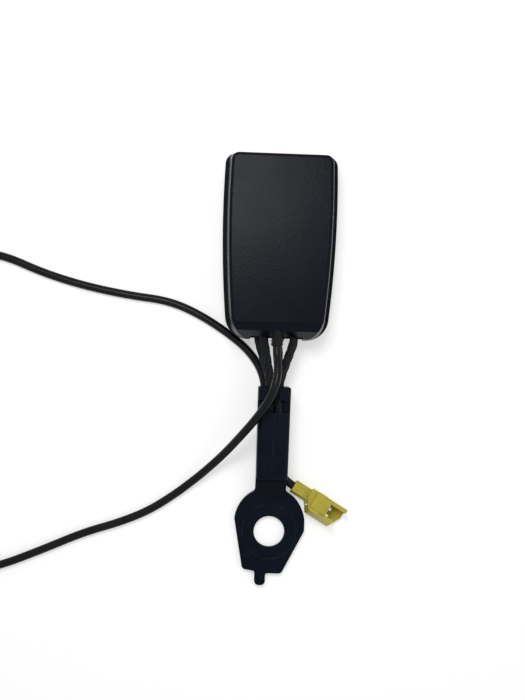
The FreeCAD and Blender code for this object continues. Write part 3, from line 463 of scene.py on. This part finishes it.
# %% Zinc plating of the mechanism
material, tree, shader = start_material("zinc_plated_steel", metallic=1.0)
place = add(tree, "ShaderNodeTexCoord").outputs["Object"]
drawn = add(tree, "ShaderNodeMapping", None, {"Vector": place, "Scale": (5200.0, 90.0, 5200.0)})
marks = add(tree, "ShaderNodeTexNoise", None, {"Vector": drawn.outputs[0], "Scale": 1.0, "Detail": 3.0})
touch = effect(tree, clouds, {"Patches Per Metre": 150.0, "Specks Per Metre": 2200.0})
paint(tree, shader, touch["Cloud"], (0.46, 0.475, 0.5), (0.62, 0.63, 0.64))
polish(tree, shader, marks.outputs["Fac"], 0.24, 0.46)
bumpy(tree, shader, marks.outputs["Fac"], 0.00002, 0.5)
FINISHES["zinc_steel"] = material

# %% Bright spring wire
material, tree, shader = start_material("spring_wire", metallic=1.0)
touch = effect(tree, clouds, {"Patches Per Metre": 700.0, "Specks Per Metre": 5000.0})
paint(tree, shader, touch["Cloud"], (0.36, 0.36, 0.37), (0.56, 0.56, 0.56))
polish(tree, shader, touch["Specks"], 0.2, 0.4)
FINISHES["spring_steel"] = material

# %% Tinned contacts
material, tree, shader = start_material("tinned_contact", metallic=1.0)
touch = effect(tree, clouds, {"Patches Per Metre": 500.0, "Specks Per Metre": 6000.0})
paint(tree, shader, touch["Cloud"], (0.6, 0.56, 0.44), (0.74, 0.71, 0.6))
polish(tree, shader, touch["Cloud"], 0.22, 0.4)
FINISHES["tinned_contact"] = material

# %% Coated rope wires
material, tree, shader = start_material("rope_wire", specular=0.16)
touch = effect(tree, clouds, {"Patches Per Metre": 380.0, "Specks Per Metre": 3200.0})
body = mix_colour(tree, touch["Cloud"], (0.0045, 0.0058, 0.0078), (0.012, 0.014, 0.017))
paint(tree, shader, touch["Specks"], body, (0.035, 0.037, 0.04))
polish(tree, shader, touch["Cloud"], 0.34, 0.52)
FINISHES["rope_steel"] = material

# %% Sheath of the lead
material, tree, shader = start_material("lead_sheath", specular=0.14)
touch = effect(tree, clouds, {"Patches Per Metre": 75.0, "Specks Per Metre": 1500.0})
body = mix_colour(tree, touch["Cloud"], (0.0012, 0.0018, 0.003), (0.0026, 0.0034, 0.005))
paint(tree, shader, touch["Specks"], body, (0.014, 0.016, 0.019))
polish(tree, shader, touch["Cloud"], 0.2, 0.32)
bumpy(tree, shader, touch["Cloud"], 0.00012, 0.4)
FINISHES["lead_sheath"] = material

# %% [markdown]
# ## Yellow plastic of the connector
#
# Airbag and belt circuits are marked by yellow connectors. The plastic is unpainted and lets some light in,
# so thin walls glow a little. Subsurface scattering gives that glow, redder where the light has gone
# further. Its shade is a mustard yellow that is paler on worn edges.

# %% Connector plastic
material, tree, shader = start_material("yellow_plastic", specular=0.45)
shader.inputs["Subsurface Weight"].default_value = 0.25
shader.inputs["Subsurface Radius"].default_value = (1.0, 0.65, 0.15)
shader.inputs["Subsurface Scale"].default_value = 0.0012
touch = effect(tree, clouds, {"Patches Per Metre": 190.0, "Specks Per Metre": 1900.0})
rub_and_highlight = effect(tree, edge_wear_and_highlight, {"Width": 0.0004, "Patches Per Metre": 420.0})
body = mix_colour(tree, touch["Cloud"], (0.4, 0.33, 0.016), (0.52, 0.44, 0.03))
paint(tree, shader, rub_and_highlight["Mask"], body, (0.68, 0.63, 0.2))
polish(tree, shader, touch["Cloud"], 0.34, 0.5)
bumpy(tree, shader, touch["Cloud"], 0.00012, 0.35)
FINISHES["yellow_plastic"] = material

# %% Give every CAD piece its finish
# Each row of the record names the material slot of its piece. Only the front shell departs from it: it gets
# the lighter copy of the plastic, whose paler grey is painted light.
for row in frame["record"]["subparts"]:
    piece = frame["nodes"][row["node"]]
    piece.material_slots[0].material = FINISHES[row["material_slot"]]
frame["nodes"]["front_cover"].material_slots[0].material = front_shell_lit_copy
print("finishes:", sorted(FINISHES))

# %% [markdown]
# ## The steel ropes
#
# Each rope is a wire rope: six strands lie in a long screw round a core, and each strand is itself six wires
# round one. Modelled by hand that would be dozens of helices. One rule makes them all: copy a line several
# times, and push each copy sideways by an angle that grows along it. The rule is a node group of its own, so
# it can be used twice, first to lay strands round the rope's line and then to lay wires round each strand.

# %% A node group that lays copies of a line round it
lay = bpy.data.node_groups.new("Lay Round", "GeometryNodeTree")
name_sockets(lay, {
    "Line": ("NodeSocketGeometry", None),
    "Copies": ("NodeSocketInt", 6),
    "Distance": ("NodeSocketFloat", 0.001),
    "Lay Length": ("NodeSocketFloat", 0.02),
}, {"Lines": "NodeSocketGeometry"})
given = add(lay, "NodeGroupInput")
copies = add(lay, "GeometryNodeDuplicateElements", {"domain": "SPLINE"},
             {"Geometry": given.outputs["Line"], "Amount": given.outputs["Copies"]})
along = add(lay, "GeometryNodeSplineParameter").outputs["Length"]
turns = math_of(lay, "DIVIDE", along, given.outputs["Lay Length"])
share = math_of(lay, "DIVIDE", copies.outputs["Duplicate Index"], given.outputs["Copies"])
angle = math_of(lay, "MULTIPLY", math_of(lay, "ADD", turns, share), 2 * math.pi)
normal = add(lay, "GeometryNodeInputNormal").outputs[0]
tangent = add(lay, "GeometryNodeInputTangent").outputs[0]
side = add(lay, "ShaderNodeVectorMath", {"operation": "CROSS_PRODUCT"}, {0: tangent, 1: normal}).outputs[0]
first = vector_of(lay, "SCALE", normal, math_of(lay, "COSINE", angle))
second = vector_of(lay, "SCALE", side, math_of(lay, "SINE", angle))
push = vector_of(lay, "SCALE", vector_of(lay, "ADD", first, second), given.outputs["Distance"])
moved = add(lay, "GeometryNodeSetPosition", None, {"Geometry": copies.outputs["Geometry"], "Offset": push})
add(lay, "NodeGroupOutput", None, {"Lines": moved.outputs[0]})

# %% The tree that makes a wire rope
rope_tree = bpy.data.node_groups.new("Wire Rope", "GeometryNodeTree")
name_sockets(rope_tree, {
    "Geometry": ("NodeSocketGeometry", None),
    "Rope Diameter": ("NodeSocketFloat", 0.0037),
    "Strands": ("NodeSocketInt", 6),
    "Wires": ("NodeSocketInt", 6),
    "Rope Lay": ("NodeSocketFloat", 0.026),
    "Strand Lay": ("NodeSocketFloat", 0.0095),
    "Step": ("NodeSocketFloat", 0.001),
    "Finish": ("NodeSocketMaterial", None),
}, {"Geometry": "NodeSocketGeometry"})
given = add(rope_tree, "NodeGroupInput")
strand_wide = math_of(rope_tree, "DIVIDE", given.outputs["Rope Diameter"], 3.0)
wire_wide = math_of(rope_tree, "DIVIDE", strand_wide, 3.0)
even_line = add(rope_tree, "GeometryNodeResampleCurve", None, {"Curve": given.outputs["Geometry"]})
even_line.mode = "LENGTH"
rope_tree.links.new(given.outputs["Step"], even_line.inputs["Length"])
strands = add(rope_tree, "GeometryNodeGroup", {"node_tree": lay}, {
    "Line": even_line.outputs[0], "Copies": given.outputs["Strands"], "Distance": strand_wide,
    "Lay Length": given.outputs["Rope Lay"]})
wires = add(rope_tree, "GeometryNodeGroup", {"node_tree": lay}, {
    "Line": strands.outputs[0], "Copies": given.outputs["Wires"], "Distance": wire_wide,
    "Lay Length": given.outputs["Strand Lay"]})
wire_ring = add(rope_tree, "GeometryNodeCurvePrimitiveCircle", None, {
    "Resolution": 6, "Radius": math_of(rope_tree, "MULTIPLY", wire_wide, 0.5)})
core_ring = add(rope_tree, "GeometryNodeCurvePrimitiveCircle", None, {
    "Resolution": 10, "Radius": math_of(rope_tree, "MULTIPLY", strand_wide, 0.62)})
wire_mesh = add(rope_tree, "GeometryNodeCurveToMesh", None, {
    "Curve": wires.outputs[0], "Profile Curve": wire_ring.outputs[0], "Fill Caps": True})
middle_mesh = add(rope_tree, "GeometryNodeCurveToMesh", None, {
    "Curve": strands.outputs[0], "Profile Curve": wire_ring.outputs[0], "Fill Caps": True})
core_mesh = add(rope_tree, "GeometryNodeCurveToMesh", None, {
    "Curve": even_line.outputs[0], "Profile Curve": core_ring.outputs[0], "Fill Caps": True})
joined = add(rope_tree, "GeometryNodeJoinGeometry")
for mesh in (wire_mesh, middle_mesh, core_mesh):
    rope_tree.links.new(mesh.outputs[0], joined.inputs[0])
smooth = add(rope_tree, "GeometryNodeSetShadeSmooth", None, {"Geometry": joined.outputs[0]})
real = add(rope_tree, "GeometryNodeRealizeInstances", None, {"Geometry": smooth.outputs[0]})
painted = add(rope_tree, "GeometryNodeSetMaterial", None, {
    "Geometry": real.outputs[0], "Material": given.outputs["Finish"]})
add(rope_tree, "NodeGroupOutput", None, {"Geometry": painted.outputs[0]})

# %% Lead both ropes round and make them
HALF_A_ROPE_APART = 1.89
SPREAD_BEFORE_GATE = 0.75
# Of each rope: its height, and where its left and right legs pass the tail of the housing.
ROPES = {"rope_front": (13.37, -5.0, 7.3), "rope_back": (9.63, -7.2, 0.8)}


def rope_leg(side, gate):
    """Lead one leg out of the crimp, through the tail of the housing and to the far side of the spool."""
    crimped = side * HALF_A_ROPE_APART
    near_gate = crimped + SPREAD_BEFORE_GATE * (gate - crimped)
    return [(crimped, 27.0), (crimped, 44.0), (crimped, 58.5), (crimped, 62.0),
            (near_gate, 74.0), (gate, 78.2), (side * 6.1, 85.0), (side * 6.3, 97.2)]


for name, (level, left_gate, right_gate) in ROPES.items():
    points = [(x, y, level) for x, y in rope_leg(-1, left_gate) + rope_leg(1, right_gate)[::-1]]
    line = smooth_line(name + "_line", points)
    rope = grow(rope_tree, name + "_strands", {"Finish": FINISHES["rope_steel"]}, line)
    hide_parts(name)
    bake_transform(rope)

# %% [markdown]
# ## The lead
#
# The sheath is a smooth round tube, so a bevelled curve is enough. It is turned into a mesh.

# %% Make the lead
# The lead climbs from the floor to the buckle.
lead_line.data.bevel_depth = LEAD_THICK / 2
lead_line.data.bevel_resolution = 5
lead_line.data.use_fill_caps = True
sheath_mesh = bpy.data.meshes.new_from_object(lead_line)
bpy.data.objects.remove(lead_line)
sheath = bpy.data.objects.new("switch_lead", sheath_mesh)
scene.collection.objects.link(sheath)
sheath_mesh.materials.clear()
sheath_mesh.materials.append(FINISHES["lead_sheath"])
sheath_mesh.shade_smooth()
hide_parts("lead_at_buckle", "lead")
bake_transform(sheath)

# %% [markdown]
# ## The springs
#
# Three small compression springs return the button, the latch and the ejector. A spring is a line wound at
# an even distance round an axis. Its first and last turns lie closer together, so that it stands square. The
# tree winds a straight line of many points, and eases its climb near both ends.

# %% The tree that winds a spring
EASED_SHARE = 0.55
spring_tree = bpy.data.node_groups.new("Compression Spring", "GeometryNodeTree")
name_sockets(spring_tree, {
    "Geometry": ("NodeSocketGeometry", None),
    "Turns": ("NodeSocketFloat", 7.0),
    "Length": ("NodeSocketFloat", 0.012),
    "Coil Radius": ("NodeSocketFloat", 0.0025),
    "Wire": ("NodeSocketFloat", 0.0006),
    "Finish": ("NodeSocketMaterial", None),
}, {"Geometry": "NodeSocketGeometry"})
given = add(spring_tree, "NodeGroupInput")
straight = add(spring_tree, "GeometryNodeCurvePrimitiveLine")
dense = add(spring_tree, "GeometryNodeResampleCurve", None, {"Curve": straight.outputs[0], "Count": 220})
part_way = add(spring_tree, "GeometryNodeSplineParameter").outputs["Factor"]
turned = math_of(spring_tree, "MULTIPLY", part_way, given.outputs["Turns"])
angle = math_of(spring_tree, "MULTIPLY", turned, 2 * math.pi)
eased = add(spring_tree, "ShaderNodeMapRange", {"interpolation_type": "SMOOTHSTEP"}, {"Value": part_way})
eased_part = math_of(spring_tree, "MULTIPLY", eased.outputs[0], EASED_SHARE)
even_part = math_of(spring_tree, "MULTIPLY", part_way, 1.0 - EASED_SHARE)
climb = math_of(spring_tree, "ADD", eased_part, even_part)
room = math_of(spring_tree, "SUBTRACT", given.outputs["Length"], given.outputs["Wire"])
half_wire = math_of(spring_tree, "MULTIPLY", given.outputs["Wire"], 0.5)
level = math_of(spring_tree, "ADD", math_of(spring_tree, "MULTIPLY", climb, room), half_wire)
across = math_of(spring_tree, "MULTIPLY", math_of(spring_tree, "COSINE", angle), given.outputs["Coil Radius"])
aside = math_of(spring_tree, "MULTIPLY", math_of(spring_tree, "SINE", angle), given.outputs["Coil Radius"])
wound = add(spring_tree, "ShaderNodeCombineXYZ", None, {"X": across, "Y": aside, "Z": level})
coiled = add(spring_tree, "GeometryNodeSetPosition", None, {
    "Geometry": dense.outputs[0], "Position": wound.outputs[0]})
ring = add(spring_tree, "GeometryNodeCurvePrimitiveCircle", None, {"Resolution": 8, "Radius": half_wire})
wire = add(spring_tree, "GeometryNodeCurveToMesh", None, {
    "Curve": coiled.outputs[0], "Profile Curve": ring.outputs[0], "Fill Caps": True})
smooth = add(spring_tree, "GeometryNodeSetShadeSmooth", None, {"Geometry": wire.outputs[0]})
real = add(spring_tree, "GeometryNodeRealizeInstances", None, {"Geometry": smooth.outputs[0]})
painted = add(spring_tree, "GeometryNodeSetMaterial", None, {
    "Geometry": real.outputs[0], "Material": given.outputs["Finish"]})
add(spring_tree, "NodeGroupOutput", None, {"Geometry": painted.outputs[0]})

# %% Wind the three springs
ALONG_Y = Matrix.Rotation(math.radians(-90.0), 4, "X")
UPRIGHT = Matrix.Identity(4)
# Of each spring: its joint, its heading, its coil radius and wire in millimetres, its turns, and the share
# of its length that is left when the joint is at its limit.
SPRINGS = {
    "button_spring": ("button_press", ALONG_Y, 2.5, 0.6, 6.5, 0.58),
    "latch_spring": ("latch_swing", UPRIGHT, 2.6, 0.6, 5.0, 0.45),
    "ejector_spring": ("ejector_slide", ALONG_Y, 1.3, 0.4, 11.0, 0.28),
}

for node, (joint, heading, radius, wire, turns, keep) in SPRINGS.items():
    low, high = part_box(node)
    middle = (low + high) / 2
    if heading is ALONG_Y:
        foot, length = (middle.x, low.y, middle.z), high.y - low.y
    else:
        foot, length = (middle.x, middle.y, low.z), high.z - low.z
    spring = grow(spring_tree, node + "_coil", {
        "Turns": turns, "Length": length, "Coil Radius": radius * MM, "Wire": wire * MM,
        "Finish": FINISHES["spring_steel"]})
    spring.data.transform(Matrix.Translation(foot) @ heading)
    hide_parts(node)
    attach(spring, "buckle")
    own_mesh(spring)

# %% [markdown]
# ## The floor, the light and the background
#
# The object lies on its front, on a plain pale table. Its dark surfaces need something bright to mirror, so
# the sky that glossy rays meet is as white as the one the camera sees, while the light that falls on the
# object stays at a plain level. A small lamp hangs nearly where the housing would mirror it to the camera, a
# little to the upper left, and so draws the sheen that fades towards the lower right. A wide one fills in.

# %% Floor
FLOOR_HALF = 3.0
FLOOR_LEVEL = -0.02 * MM
FLOOR_GLOW = 0.42
floor_mesh = bpy.data.meshes.new("floor")
corners = [(x * FLOOR_HALF, y * FLOOR_HALF, FLOOR_LEVEL) for x, y in ((-1, -1), (1, -1), (1, 1), (-1, 1))]
floor_mesh.from_pydata(corners, [], [(0, 1, 2, 3)])
floor = bpy.data.objects.new("floor", floor_mesh)
scene.collection.objects.link(floor)
material, tree, shader = start_material("pale_table", 0.85, specular=0.1)
shader.inputs["Base Color"].default_value = (0.8, 0.8, 0.8, 1.0)
rays = add(tree, "ShaderNodeLightPath")
seen = math_of(tree, "MAXIMUM", rays.outputs["Is Camera Ray"], rays.outputs["Is Glossy Ray"])
glow = math_of(tree, "MULTIPLY", seen, FLOOR_GLOW)
shader.inputs["Emission Color"].default_value = (1.0, 1.0, 1.0, 1.0)
tree.links.new(glow, shader.inputs["Emission Strength"])
floor_mesh.materials.append(material)

# %% Sky and lamps
SKY_LIGHT = 0.45
LAMPS_AIM = Vector((0.0, 0.08, 0.01))
world = bpy.data.worlds.new("pale_sky")
world.use_nodes = True
scene.world = world
tree = world.node_tree
sky = tree.nodes["Background"]
sky.inputs["Color"].default_value = (1.0, 1.0, 1.0, 1.0)
rays = add(tree, "ShaderNodeLightPath")
mirrored = math_of(tree, "MAXIMUM", rays.outputs["Is Glossy Ray"], rays.outputs["Is Transmission Ray"])
seen = math_of(tree, "MAXIMUM", rays.outputs["Is Camera Ray"], mirrored)
extra = math_of(tree, "MULTIPLY", seen, 1.0 - SKY_LIGHT)
tree.links.new(math_of(tree, "ADD", extra, SKY_LIGHT), sky.inputs["Strength"])


def hang_lamp(name, place, wide, power):
    """Hang a square soft lamp that faces the middle of the object."""
    light = bpy.data.lights.new(name, "AREA")
    light.size = wide
    light.energy = power
    lamp = bpy.data.objects.new(name, light)
    scene.collection.objects.link(lamp)
    away = Vector(place) - LAMPS_AIM
    lamp.matrix_world = Matrix.Translation(place) @ away.to_track_quat("Z", "Y").to_matrix().to_4x4()


hang_lamp("key_lamp", (-0.042, 0.194, 0.327), wide=0.12, power=0.49)
hang_lamp("fill_lamp", (0.6, -0.15, 0.6), wide=0.7, power=0.9)

# %% Picture settings
scene.view_settings.view_transform = "Standard"
